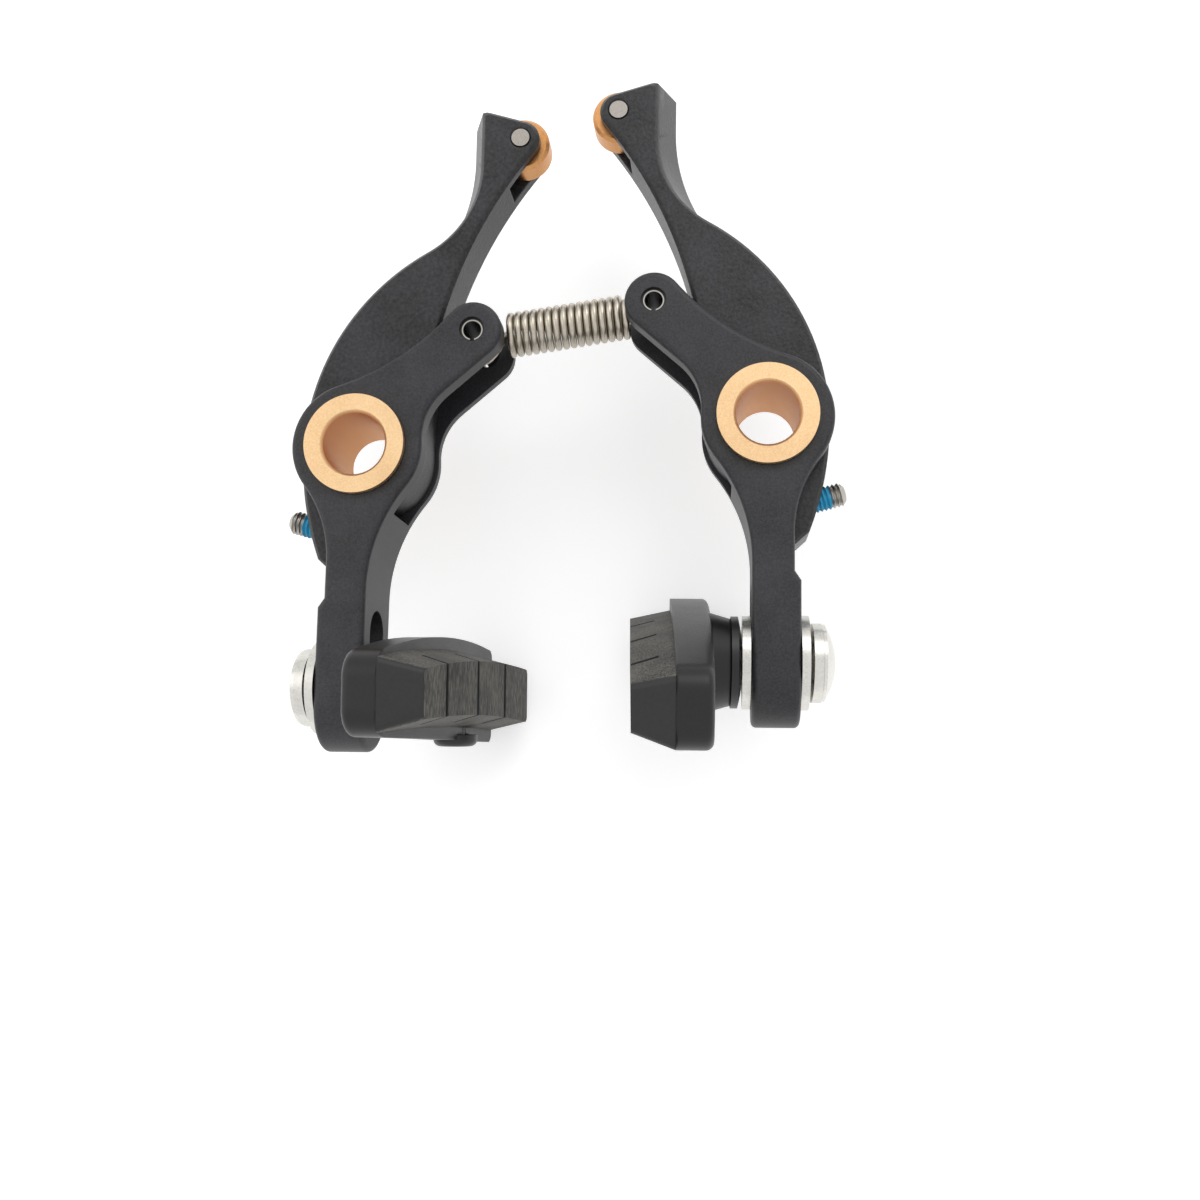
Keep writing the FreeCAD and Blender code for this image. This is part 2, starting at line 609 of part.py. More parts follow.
def pad_holder():
    back = pad_band(HOLDER_BACK_X, 0.0, HOLDER_HEIGHTS, PAD_NEAR, PAD_FAR)
    joint = pad_band(JOINT_X, JOINT_TAPER, HOLDER_HEIGHTS, PAD_NEAR, PAD_FAR)
    body = Part.makeLoft([back, joint], True, True)
    near = [edge for edge in corner_edges(body, HOLDER_DEPTH) if edge.BoundBox.YMax < ARM_MIDDLE_Y]
    body = body.makeFillet(HOLDER_CORNER, near)
    far = [edge for edge in corner_edges(body, HOLDER_DEPTH) if edge.BoundBox.YMin > ARM_MIDDLE_Y]
    body = body.makeFillet(HOLDER_FAR_CORNER, far)
    rim = [edge for edge in body.Edges if abs(edge.BoundBox.XMax - HOLDER_BACK_X) < 1e-4]
    body = body.makeFillet(HOLDER_BACK_ROUND, rim)
    boss = Part.makeCone(BOSS_TOP_DIAMETER / 2, BOSS_BASE_DIAMETER / 2, BOSS_LENGTH,
                         V(HOLDER_BACK_X - BOSS_LENGTH, PAD_BOLT.y, PAD_BOLT.z), X_AXIS)
    boss_foot = rod_x(BOSS_BASE_DIAMETER / 2, HOLDER_BACK_X, BOSS_FOOT)
    body = body.multiFuse([boss, boss_foot])
    thread = rod_x(BOLT_DIAMETER / 2 + THREAD_CLEARANCE, HOLDER_BACK_X - BOSS_LENGTH,
                   BOLT_REACH + THREAD_CLEARANCE)
    low_z = KEEPER_SEAT_Z - HOLDER_MIDDLE_HEIGHT
    keeper_hole = keeper_rod(KEEPER_DIAMETER / 2 + THREAD_CLEARANCE, low_z, PAD_Z - low_z)
    keeper_flat = keeper_rod(KEEPER_HEAD / 2 + KEEPER_FLAT, low_z, KEEPER_SEAT_Z - low_z)
    return body.cut(thread.multiFuse([tang(TANG_FIT), keeper_hole, keeper_flat]))


def brake_pad():
    base = pad_band(JOINT_X, JOINT_TAPER, BASE_HEIGHTS, PAD_NEAR, PAD_FAR)
    face = pad_band(FACE_X, FACE_TAPER, FACE_HEIGHTS, PAD_NEAR - PAD_END_SLOPE, PAD_FAR - PAD_END_SLOPE)
    body = Part.makeLoft([base, face], True, True)
    body = body.makeFillet(PAD_EDGE_ROUND, corner_edges(body, PAD_DEPTH))
    for number in range(GROOVE_COUNT):
        along = GROOVE_MIDDLE + (number - (GROOVE_COUNT - 1) / 2) * GROOVE_SPACING
        groove = Part.makeBox(2 * GROOVE_DEPTH, GROOVE_WIDTH, 2 * HOLDER_MIDDLE_HEIGHT,
                              V(-GROOVE_DEPTH, along - GROOVE_WIDTH / 2, -HOLDER_MIDDLE_HEIGHT))
        groove.rotate(V(), Z_AXIS, -FACE_TAPER)
        groove.translate(V(FACE_X, ARM_MIDDLE_Y, PAD_Z))
        body = body.cut(groove)
    low_z = PAD_Z - TANG_HEIGHT
    top_z = PAD_Z - TANG_HEIGHT / 2 + KEEPER_BITE + THREAD_CLEARANCE
    bite = keeper_rod(KEEPER_DIAMETER / 2 + THREAD_CLEARANCE, low_z, top_z - low_z)
    return body.fuse(tang(0.0)).cut(bite).removeSplitter()


def pad_keeper_screw():
    """Pan-headed screw from below, through the holder into the pad's rib."""
    head_z = KEEPER_SEAT_Z - KEEPER_HEAD_HEIGHT
    head = keeper_rod(KEEPER_HEAD / 2, head_z, KEEPER_HEAD_HEIGHT)
    rim = [edge for edge in head.Edges if edge.BoundBox.ZMax < head_z + 1e-4]
    head = head.makeFillet(KEEPER_HEAD_HEIGHT * 0.6, rim)
    shank_z = KEEPER_SEAT_Z - KEEPER_HEAD_HEIGHT / 2
    shank = keeper_rod(KEEPER_DIAMETER / 2, shank_z, PAD_Z - TANG_HEIGHT / 2 + KEEPER_BITE - shank_z)
    return head.fuse(shank).removeSplitter()


def pitched(shape, side):
    """Turn about the bolt axis: the near end of the pad hangs down."""
    shape.rotate(PAD_BOLT, X_AXIS, REST_PITCH[side])
    return shape


def toed(shape, side):
    """Swing about an upright axis through the middle of the leg: the far end leans inwards."""
    shape.rotate(V(LEG_MIDDLE_X, ARM_MIDDLE_Y, PAD_Z), Z_AXIS, -REST_TOE[side])
    return shape


def placed(shape, side):
    """Put a piece drawn in its side's frame at its place on the brake."""
    reach = -PIVOT_SPACING / 2
    if side == "right":
        shape = shape.mirror(V(), X_AXIS)
        reach = -reach
    shape.rotate(V(), Y_AXIS, REST_LEAN)
    shape.translate(V(reach, 0, 0))
    return shape


def pin_place(side):
    """Spring pin axis at mid-fork on the finished brake."""
    marker = placed(Part.Vertex(V(SPRING_PIN_X, LEVER_MIDDLE_Y, SPRING_PIN_Z)), side)
    return marker.Vertexes[0].Point


def spring_eye(pin_x, coil_x):
    """Wire from under the end coil, straight to the pin and once round it."""
    wire = SPRING_WIRE / 2
    radius = SPRING_PIN_DIAMETER / 2 + HOOK_CLEARANCE + wire
    pin = V(pin_x, 0, 0)
    way = 1 if coil_x > pin_x else -1
    start = V(coil_x + way * SPRING_WIRE / 2, 0, -radius)
    lead = Part.LineSegment(start, V(pin_x, 0, -radius)).toShape()
    turn = Part.Arc(V(pin_x, 0, -radius), around(pin, radius, 90 + way * 30),
                    around(pin, radius, 90 - way * 120)).toShape()
    section = Part.Wire(Part.makeCircle(wire, start, V(way, 0, 0)))
    return Part.Wire([lead, turn]).makePipeShell([section], True, False)


def return_spring():
    """Close-coiled tension spring along x with an eye at each end, then laid between the pins."""
    left = pin_place("left")
    right = pin_place("right")
    span = right - left
    wire = SPRING_WIRE / 2
    coil = (SPRING_DIAMETER - SPRING_WIRE) / 2
    pitch = SPRING_COIL_LENGTH / SPRING_COILS
    start = (span.Length - SPRING_COIL_LENGTH) / 2
    end = start + SPRING_COIL_LENGTH
    edges = []
    for number in range(SPRING_COILS):
        from_x = start + number * pitch
        edges.append(Part.Arc(V(from_x, coil, 0), V(from_x + pitch / 2, coil + wire, 0),
                              V(from_x + pitch, coil, 0)).toShape())
    for a, b in ((V(end, coil, 0), V(end, coil - wire, 0)),
                 (V(end, coil - wire, 0), V(start, coil - wire, 0)),
                 (V(start, coil - wire, 0), V(start, coil, 0))):
        edges.append(Part.LineSegment(a, b).toShape())
    coils = Part.Face(Part.Wire(edges)).revolve(V(), X_AXIS, 360)
    coils.translate(V(0, 0, SPRING_RISE))
    spring = coils.multiFuse([spring_eye(0.0, start), spring_eye(span.Length, end)])
    spring.rotate(V(), Y_AXIS, -math.degrees(math.atan2(span.z, span.x)))
    spring.translate(left)
    return spring


def side_pieces(side):
    """All pieces of one side by name, in that side's frame."""
    pieces = {
        "brake_arm": brake_arm(),
        "pivot_bush": pivot_bush(),
        "spring_pin": spring_pin(),
        "lever": lever(),
        "roller": roller(),
        "roller_pin": roller_pin(),
        "set_screw": set_screw(),
        "inner_cup_washer": cup_washer(INNER_CUP_DIAMETER, INNER_CUP_X, 1),
        "outer_cup_washer": cup_washer(OUTER_CUP_DIAMETER, OUTER_CUP_X, -1),
    }
    inner_ball = ball_washer(INNER_BALL_DIAMETER, INNER_CUP_DIAMETER, INNER_BALL_X, INNER_BALL_RIM, 1)
    outer_ball = ball_washer(OUTER_BALL_DIAMETER, OUTER_CUP_DIAMETER, OUTER_BALL_X, OUTER_BALL_RIM, -1)
    pieces["inner_ball_washer"] = toed(inner_ball, side)
    pieces["outer_ball_washer"] = toed(outer_ball, side)
    pad_pieces = {
        "pad_bolt": pad_bolt(),
        "pad_holder": pad_holder(),
        "brake_pad": brake_pad(),
        "pad_keeper_screw": pad_keeper_screw(),
    }
    for name, shape in pad_pieces.items():
        pieces[name] = toed(pitched(shape, side), side)
    return pieces


def main():
    os.makedirs("parts", exist_ok=True)
    nodes = {"return_spring": return_spring()}
    for side in ("left", "right"):
        for name, shape in side_pieces(side).items():
            nodes[side + "_" + name] = placed(shape, side)
    for name, shape in nodes.items():
        shape.exportStep("parts/" + name + ".step")
        print(name, "solids", len(shape.Solids), "volume", round(shape.Volume, 1), "valid", shape.isValid())


main()
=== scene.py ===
# %% [markdown]
# # A two-arm bicycle rim brake
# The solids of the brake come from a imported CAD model. Most of them already have the right shape, so
# here they get their finishes: black blasted alloy, sintered bronze, bright steel and ground rubber.
# Only what needs finer form than its solid is made anew: the tops of the levers, the rubber of the
# pads, the wire of the return spring and the threads of the two set screws.

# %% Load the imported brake
import bmesh
import bpy
import json
import math
from mathutils import Matrix, Vector


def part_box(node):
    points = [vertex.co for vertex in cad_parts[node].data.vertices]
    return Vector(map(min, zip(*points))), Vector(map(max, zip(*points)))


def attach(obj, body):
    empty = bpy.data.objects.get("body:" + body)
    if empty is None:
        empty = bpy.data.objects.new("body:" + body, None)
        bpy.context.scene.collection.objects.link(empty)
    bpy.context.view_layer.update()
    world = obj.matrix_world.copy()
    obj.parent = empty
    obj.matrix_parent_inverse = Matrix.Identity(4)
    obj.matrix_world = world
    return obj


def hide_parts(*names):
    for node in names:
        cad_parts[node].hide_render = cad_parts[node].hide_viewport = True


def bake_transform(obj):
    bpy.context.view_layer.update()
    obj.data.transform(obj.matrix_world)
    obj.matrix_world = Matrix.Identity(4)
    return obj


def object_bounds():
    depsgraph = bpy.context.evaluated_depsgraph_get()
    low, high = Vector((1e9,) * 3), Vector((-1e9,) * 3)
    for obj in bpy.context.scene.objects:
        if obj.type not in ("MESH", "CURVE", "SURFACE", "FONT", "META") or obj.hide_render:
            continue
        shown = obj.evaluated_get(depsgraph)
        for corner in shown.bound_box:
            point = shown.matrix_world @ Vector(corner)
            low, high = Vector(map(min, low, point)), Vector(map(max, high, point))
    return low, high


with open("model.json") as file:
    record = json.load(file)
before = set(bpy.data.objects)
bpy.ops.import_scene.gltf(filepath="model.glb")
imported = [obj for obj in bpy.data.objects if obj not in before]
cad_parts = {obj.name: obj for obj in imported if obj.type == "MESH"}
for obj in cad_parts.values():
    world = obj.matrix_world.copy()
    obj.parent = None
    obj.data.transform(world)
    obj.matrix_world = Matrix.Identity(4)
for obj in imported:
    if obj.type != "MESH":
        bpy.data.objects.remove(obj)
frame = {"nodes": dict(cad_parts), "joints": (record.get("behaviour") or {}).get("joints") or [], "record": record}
cad_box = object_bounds()
nodes = frame["nodes"]
joints = {joint["name"]: joint for joint in frame["joints"]}
MM = 0.001
SIDES = ("left", "right")

# %% [markdown]
# ## The camera
# The photograph looks down on the brake as it lies on its back, from close by and a little below
# the pads. A 36 mm lens on a 36 mm sensor gives the same perspective. The camera is aimed with a
# track quaternion and then rolled about its own axis, which is easier to read than three angles.

# %% Camera
CAMERA_PLACE = Vector((21.71, -198.02, -54.54)) * MM
LOOK_AT = Vector((11.17, -7.75, -31.98)) * MM
CAMERA_ROLL = math.radians(-3.29)
LENS = 36.0
SENSOR = 36.0
LENS_SHIFT = (-0.0375, 0.0267)
NEAREST_SEEN = 10 * MM
scene = bpy.context.scene


def aimed(place, target):
    """Matrix that stands a camera or a lamp at a place and points its -Z at a target."""
    turn = (Vector(target) - Vector(place)).to_track_quat("-Z", "Y")
    return Matrix.Translation(place) @ turn.to_matrix().to_4x4()


camera_data = bpy.data.cameras.new("photo_camera")
camera_data.lens = LENS
camera_data.sensor_width = SENSOR
camera_data.shift_x, camera_data.shift_y = LENS_SHIFT
camera_data.clip_start = NEAREST_SEEN
camera = bpy.data.objects.new("photo_camera", camera_data)
scene.collection.objects.link(camera)
camera.matrix_world = aimed(CAMERA_PLACE, LOOK_AT) @ Matrix.Rotation(CAMERA_ROLL, 4, "Z")
scene.camera = camera
print("camera looks along", [round(v, 3) for v in (LOOK_AT - CAMERA_PLACE).normalized()])

# %% [markdown]
# ## Nodes in a few words
# Every finish below is a small shader tree, so a few helpers keep them short. The first turns a
# colour picked from a screen into the linear values that a shader expects. The next ones add a node
# and fill its sockets, each with a link or with a plain value. The last ones stand for the nodes
# that come back most often: a noise, a ramp, a mix and a sum.

# %% Filling sockets
def screen_colour(red, green, blue):
    """Colour as seen on a screen, 0 to 255, in the linear values of a shader."""
    def linear(value):
        share = value / 255
        return share / 12.92 if share <= 0.04045 else ((share + 0.055) / 1.055) ** 2.4
    return (linear(red), linear(green), linear(blue), 1.0)


def feed(tree, socket, value):
    """Fills a socket with a link from another socket, or with a plain value."""
    if isinstance(value, bpy.types.NodeSocket):
        tree.links.new(value, socket)
    else:
        socket.default_value = value


def feed_all(tree, node, **sockets):
    """Fills a node's inputs by name, with a _ for each space in the name."""
    for name, value in sockets.items():
        feed(tree, node.inputs[name.replace("_", " ")], value)


def add_node(tree, kind, settings=None, **sockets):
    """New node with its settings made and its inputs filled."""
    node = tree.nodes.new(kind)
    for name, value in (settings or {}).items():
        setattr(node, name, value)
    feed_all(tree, node, **sockets)
    return node


def new_material(name, **plain):
    """Material with a Principled shader; plain numbers go straight on its sockets."""
    material = bpy.data.materials.new(name)
    material.use_nodes = True
    shader = material.node_tree.nodes["Principled BSDF"]
    feed_all(material.node_tree, shader, **plain)
    return material, material.node_tree, shader


print("mid grey on a screen is", round(screen_colour(128, 128, 128)[0], 3), "in a shader")


# %% Nodes that come back
# A Mix node holds sockets for every kind of data, and these are the places of the colour ones.
MIX_FIRST, MIX_SECOND, MIX_RESULT = 6, 7, 2
VECTOR_MATH = "ShaderNodeVectorMath"


def object_place(tree):
    """Place on the piece, in metres from the origin of the brake."""
    return tree.nodes.new("ShaderNodeTexCoord").outputs["Object"]


def noise(tree, place, **sizes):
    """Random value that changes smoothly from place to place."""
    return add_node(tree, "ShaderNodeTexNoise", Vector=place, **sizes).outputs["Fac"]


def ramp(tree, value, **limits):
    """Value carried over from one range to another, and held inside the new one."""
    return add_node(tree, "ShaderNodeMapRange", Value=value, **limits).outputs["Result"]


def mix_values(tree, share, first, second):
    """Value between two, by the share of the second."""
    mix = add_node(tree, "ShaderNodeMix", {"data_type": "FLOAT"}, Factor=share, A=first, B=second)
    return mix.outputs["Result"]


def mix_colours(tree, share, first, second):
    """Colour between two, by the share of the second."""
    mix = add_node(tree, "ShaderNodeMix", {"data_type": "RGBA"}, Factor=share)
    feed(tree, mix.inputs[MIX_FIRST], first)
    feed(tree, mix.inputs[MIX_SECOND], second)
    return mix.outputs[MIX_RESULT]


def math_node(tree, operation, *values, kind="ShaderNodeMath"):
    """Sum of one or two values; the inputs of such a node share a name, so they go in order."""
    node = add_node(tree, kind, {"operation": operation})
    for socket, value in zip(node.inputs, values):
        feed(tree, socket, value)
    return node


def new_group(name, inputs, outputs):
    """Shader node group with named sockets, returned with its input and output nodes."""
    group = bpy.data.node_groups.new(name, "ShaderNodeTree")
    for label, kind, value in inputs:
        socket = group.interface.new_socket(label, in_out="INPUT", socket_type=kind)
        if value is not None:
            socket.default_value = value
    for label, kind in outputs:
        group.interface.new_socket(label, in_out="OUTPUT", socket_type=kind)
    return group, group.nodes.new("NodeGroupInput"), group.nodes.new("NodeGroupOutput")


def place_group(tree, group, **sockets):
    """Node that stands for a whole group, with its inputs filled."""
    return add_node(tree, "ShaderNodeGroup", {"node_tree": group}, **sockets)


print("helpers for a noise, a ramp, two mixes, a sum and a group")

# %% [markdown]
# ## A shared grain
# Blasted alloy, sintered bronze, rubber skin and steel all have a fine random grain, and differ in
# its size and strength. One node group makes it: two sizes of noise, mixed, put out as a height for
# a Bump node and as a spread between two colours. Each finish places it with its own values.

# %% Grain group
BROAD_PER_METRE = 140.0
BROAD_SHARE = 0.35
NOISE_SPAN = {"From_Min": 0.3, "From_Max": 0.7}
grain, grain_in, grain_out = new_group(
    "grain",
    [("Place", "NodeSocketVector", None), ("Grains per metre", "NodeSocketFloat", 4000.0),
     ("Dark", "NodeSocketColor", (0.1, 0.1, 0.1, 1)), ("Light", "NodeSocketColor", (0.2, 0.2, 0.2, 1)),
     ("Smooth", "NodeSocketFloat", 0.4), ("Rough", "NodeSocketFloat", 0.5)],
    [("Height", "NodeSocketFloat"), ("Colour", "NodeSocketColor"), ("Roughness", "NodeSocketFloat")])
given = grain_in.outputs
fine = noise(grain, given["Place"], Scale=given["Grains per metre"], Detail=4.0, Roughness=0.6)
broad = noise(grain, given["Place"], Scale=BROAD_PER_METRE, Detail=3.0)
both = mix_values(grain, BROAD_SHARE, fine, broad)
tone = mix_colours(grain, ramp(grain, both, **NOISE_SPAN), given["Dark"], given["Light"])
gloss = ramp(grain, both, **NOISE_SPAN, To_Min=given["Smooth"], To_Max=given["Rough"])
feed_all(grain, grain_out, Height=fine, Colour=tone, Roughness=gloss)
print("grain group with", len(grain.nodes), "nodes")

# %% [markdown]
# ## Grained finishes
# Most finishes are this grain with their own colours, gloss and depth. The moulded and forged pieces
# have softly rounded edges, finer than the bevels of the solids. A Bevel node gives those in the
# shading, so an edge catches the light as a worn one does.

# %% Grained finishes
GRAIN_DEPTH = 0.08 * MM


def grained(name, dark, light, grains, smooth, rough, bump, edge=0.0, **plain):
    """Finish with colour, gloss and relief from the shared grain, and rounded edges if asked."""
    material, tree, shader = new_material(name, **plain)
    texture = place_group(tree, grain, Place=object_place(tree), Grains_per_metre=grains,
                          Dark=screen_colour(*dark), Light=screen_colour(*light),
                          Smooth=smooth, Rough=rough)
    relief = add_node(tree, "ShaderNodeBump", Height=texture.outputs["Height"], Strength=bump,
                      Distance=GRAIN_DEPTH)
    if edge:
        rounded = add_node(tree, "ShaderNodeBevel", Radius=edge)
        feed_all(tree, relief, Normal=rounded.outputs["Normal"])
    feed_all(tree, shader, Base_Color=texture.outputs["Colour"],
             Roughness=texture.outputs["Roughness"], Normal=relief.outputs["Normal"])
    return material


arm_black = grained("arm_black", dark=(10, 10, 12), light=(58, 58, 62), grains=3000.0, smooth=0.36,
                    rough=0.50, bump=0.30, edge=0.25 * MM, Specular_IOR_Level=0.42)
lever_black = grained("lever_black", dark=(1, 1, 2), light=(60, 60, 63), grains=1800.0, smooth=0.28,
                      rough=0.46, bump=0.90, edge=0.5 * MM, Specular_IOR_Level=0.36)
holder_black = grained("holder_black", dark=(14, 14, 15), light=(26, 26, 28), grains=2600.0, smooth=0.32,
                       rough=0.44, bump=0.06, edge=0.6 * MM, Specular_IOR_Level=0.42)
rubber_skin = grained("rubber_skin", dark=(16, 16, 17), light=(32, 32, 33), grains=1800.0, smooth=0.40,
                      rough=0.54, bump=0.20, edge=0.4 * MM)
black_steel = grained("black_steel", dark=(14, 14, 15), light=(24, 24, 25), grains=3000.0, smooth=0.30,
                      rough=0.42, bump=0.08)
roller_bronze = grained("roller_bronze", dark=(186, 130, 80), light=(214, 160, 106), grains=2600.0,
                        smooth=0.28, rough=0.38, bump=0.08, Metallic=1.0)
pin_steel = grained("pin_steel", dark=(144, 139, 132), light=(174, 168, 161), grains=3400.0,
                    smooth=0.34, rough=0.46, bump=0.18, Metallic=1.0)
spring_steel = grained("spring_steel", dark=(172, 165, 152), light=(206, 198, 184), grains=2200.0,
                       smooth=0.26, rough=0.36, bump=0.06, Metallic=1.0)
washer_silver = grained("washer_silver", dark=(196, 194, 188), light=(222, 220, 214), grains=2400.0,
                        smooth=0.24, rough=0.34, bump=0.05, Metallic=1.0)
bolt_steel = grained("bolt_steel", dark=(204, 202, 196), light=(226, 224, 218), grains=2400.0,
                     smooth=0.20, rough=0.28, bump=0.03, Metallic=1.0)
print("grained finishes", [material.name for material in bpy.data.materials if material.node_tree])

# %% [markdown]
# ## Marks of turning
# The bronze bushes were turned on a lathe, and the rolled spring pins show a thin bright rim on
# their cut ends. Both are patterns in the distance from an axis, so one group gives that distance:
# it is placed with the middle of the piece, and the axis runs front to back.

# %% Axis distance group
axis_distance, axis_in, axis_out = new_group(
    "axis_distance",
    [("Place", "NodeSocketVector", None), ("Middle", "NodeSocketVector", (0, 0, 0)),
     ("Rings per metre", "NodeSocketFloat", 5000.0)],
    [("Distance", "NodeSocketFloat"), ("Rings", "NodeSocketFloat")])
given = axis_in.outputs
off_middle = math_node(axis_distance, "SUBTRACT", given["Place"], given["Middle"], kind=VECTOR_MATH)
flat = math_node(axis_distance, "MULTIPLY", off_middle.outputs["Vector"], (1, 0, 1), kind=VECTOR_MATH)
radius = math_node(axis_distance, "LENGTH", flat.outputs["Vector"], kind=VECTOR_MATH).outputs["Value"]
rings = math_node(axis_distance, "MULTIPLY", radius, given["Rings per metre"])
uneven = add_node(axis_distance, "ShaderNodeTexNoise", {"noise_dimensions": "1D"},
                  W=rings.outputs["Value"], Scale=1.0, Detail=2.0)
feed_all(axis_distance, axis_out, Distance=radius, Rings=uneven.outputs["Fac"])
print("axis distance group with", len(axis_distance.nodes), "nodes")


# %% Turned bronze
BORE_RADIUS = 5.0 * MM
# Where the painted shade of the bore fades out, just beyond its radius.
BORE_SHADE_FADE_START = 0.1 * MM
BORE_SHADE_FADE_END = 0.3 * MM
RING_DEPTH = 0.05 * MM


def middle_of(node):
    """Middle of a CAD node's box."""
    low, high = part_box(node)
    return (low + high) / 2


def turned_bronze(name, middle):
    """Sintered bronze: a pale grain crossed by the fine rings of the lathe, and painted shade that darkens the
    bore.
    """
    material, tree, shader = new_material(name, Metallic=1.0)
    place = object_place(tree)
    texture = place_group(tree, grain, Place=place, Grains_per_metre=4200.0,
                          Dark=screen_colour(214, 176, 130), Light=screen_colour(242, 210, 166),
                          Smooth=0.40, Rough=0.52)
    turning = place_group(tree, axis_distance, Place=place, Middle=middle, Rings_per_metre=7000.0)
    # Painted shade: inside the bore the colour turns to a darker bronze, standing in for the shade there.
    painted_bore_shade = ramp(tree, turning.outputs["Distance"], From_Min=BORE_RADIUS + BORE_SHADE_FADE_END,
                   From_Max=BORE_RADIUS + BORE_SHADE_FADE_START)
    shade = mix_colours(tree, painted_bore_shade, texture.outputs["Colour"], screen_colour(206, 148, 98))
    height = math_node(tree, "ADD", texture.outputs["Height"], turning.outputs["Rings"])
    relief = add_node(tree, "ShaderNodeBump", Height=height.outputs["Value"], Strength=0.12,
                      Distance=RING_DEPTH)
    feed_all(tree, shader, Base_Color=shade, Roughness=texture.outputs["Roughness"],
             Normal=relief.outputs["Normal"])
    return material


bush_middle = {side: middle_of(side + "_pivot_bush") for side in SIDES}
bush_bronze = {side: turned_bronze(side + "_bush_bronze", bush_middle[side]) for side in SIDES}
print("bush middles", [tuple(round(v / MM, 1) for v in middle) for middle in bush_middle.values()])


# %% Rolled pins
PIN_RIM = 1.58 * MM
PIN_RIM_WIDTH = 0.13 * MM


def rolled_pin(name, middle):
    """Black oxide all over, rubbed bright on a thin ring of the cut end."""
    material, tree, shader = new_material(name, Roughness=0.35)
    turning = place_group(tree, axis_distance, Place=object_place(tree), Middle=middle)
    off_rim = math_node(tree, "SUBTRACT", turning.outputs["Distance"], PIN_RIM)
    either_way = math_node(tree, "ABSOLUTE", off_rim.outputs["Value"])
    rim = ramp(tree, either_way.outputs["Value"], From_Min=PIN_RIM_WIDTH, From_Max=PIN_RIM_WIDTH / 2)
    shade = mix_colours(tree, rim, screen_colour(15, 15, 16), screen_colour(176, 172, 164))
    feed_all(tree, shader, Base_Color=shade, Metallic=rim)
    return material


pin_middle = {side: middle_of(side + "_spring_pin") for side in SIDES}
pin_black = {side: rolled_pin(side + "_pin_black", pin_middle[side]) for side in SIDES}
print("pins", [material.name for material in pin_black.values()])

# %% [markdown]
# ## Ground rubber
# The pads' rubber is ground to shape, which leaves short hairs that run across the pad. Noise that
# is stretched along one direction looks like that. The stretch is a Mapping node in front of the
# noise, turned a little so that the hairs lean as the real ones do.

# %% Rubber
HAIR_LEAN = math.radians(14.0)
HAIR_STRETCH = 0.16
HAIRS_PER_METRE = 3600.0
HAIR_DEPTH = 0.06 * MM
PATCHES_PER_METRE = 170.0
PATCH_SHARE = 0.3
pad_rubber, tree, shader = new_material("pad_rubber", Specular_IOR_Level=0.35)
place = object_place(tree)
leaning = add_node(tree, "ShaderNodeMapping", Vector=place, Rotation=(HAIR_LEAN, 0, 0),
                   Scale=(1.0, 1.0, HAIR_STRETCH))
hairs = noise(tree, leaning.outputs["Vector"], Scale=HAIRS_PER_METRE, Detail=3.0, Roughness=0.6)
patches = noise(tree, place, Scale=PATCHES_PER_METRE, Detail=4.0)
tangle = mix_values(tree, PATCH_SHARE, hairs, patches)
spread = ramp(tree, tangle, From_Min=0.42, From_Max=0.58)
shade = mix_colours(tree, spread, screen_colour(30, 29, 28), screen_colour(108, 106, 100))
rough = ramp(tree, spread, To_Min=0.58, To_Max=0.78)
relief = add_node(tree, "ShaderNodeBump", Height=hairs, Strength=0.35, Distance=HAIR_DEPTH)
feed_all(tree, shader, Base_Color=shade, Roughness=rough, Normal=relief.outputs["Normal"])
print("rubber with", len(tree.nodes), "nodes")

# %% [markdown]
# ## Coats for the solids
# The record names a material slot for every node, and most slots have one finish. The bushes and
# the spring pins take the finish that is centred on their own axis. Nodes that a new piece will stand
# for are passed over.

# %% Give each CAD node its finish
REMADE = ("lever", "brake_pad", "set_screw", "return_spring")
finishes = {"black_alloy": arm_black, "holder_black": holder_black, "black_steel": black_steel,
            "roller_bronze": roller_bronze, "pin_steel": pin_steel, "washer_silver": washer_silver,
            "bolt_steel": bolt_steel}
own_finish = {}
for side in SIDES:
    own_finish[side + "_pivot_bush"] = bush_bronze[side]
    own_finish[side + "_spring_pin"] = pin_black[side]
slot_of = {part["node"]: part["material_slot"] for part in frame["record"]["subparts"]}
kept = [node for node in slot_of if not node.endswith(REMADE)]
for node in kept:
    mesh = nodes[node].data
    mesh.materials.clear()
    mesh.materials.append(own_finish.get(node) or finishes[slot_of[node]])
print("coated", len(kept), "nodes of", len(slot_of))

# %% [markdown]
# ## Copies of a solid
# Where a new piece keeps most of its solid's shape, it starts from a copy of the mesh. A CAD mesh is
# loose triangles, so the copy is merged first: then its points can be moved without tearing it. It is
# shaded smooth, apart from edges that turn by more than a set angle.

# %% Merged copies
MERGE_REACH = 0.002 * MM
SMOOTH_ANGLE = math.radians(28)


def merged_copy(node, name):
    """Plain mesh of a node with its loose triangles joined along their edges."""
    work = bmesh.new()
    work.from_mesh(nodes[node].data)
    bmesh.ops.remove_doubles(work, verts=work.verts, dist=MERGE_REACH)
    points = [vertex.co.copy() for vertex in work.verts]
    work.verts.index_update()
    faces = [[vertex.index for vertex in face.verts] for face in work.faces]
    work.free()
    mesh = bpy.data.meshes.new(name)
    mesh.from_pydata(points, [], faces)
    return mesh


def shade_by_angle(mesh):
    """Smooth shading that stops at sharp edges."""
    mesh.shade_smooth()
    mesh.set_sharp_from_angle(angle=SMOOTH_ANGLE)


def add_piece(mesh):
    """Object at the origin for a mesh that has its place in its own points."""
    piece = bpy.data.objects.new(mesh.name, mesh)
    scene.collection.objects.link(piece)
    return piece


print("edges stay sharp past", round(math.degrees(SMOOTH_ANGLE)), "degrees")

# %% [markdown]
# ## The lever heads
# The head of each lever has a straight top with a worn corner, and it leans outwards to the rear.
# The solid's top is a little hollow there, so the lever is shown by a merged copy of its mesh. Only
# the points on the top are lifted to the straight line, which is worked out from the nose circle in
# the lever's own upright frame.

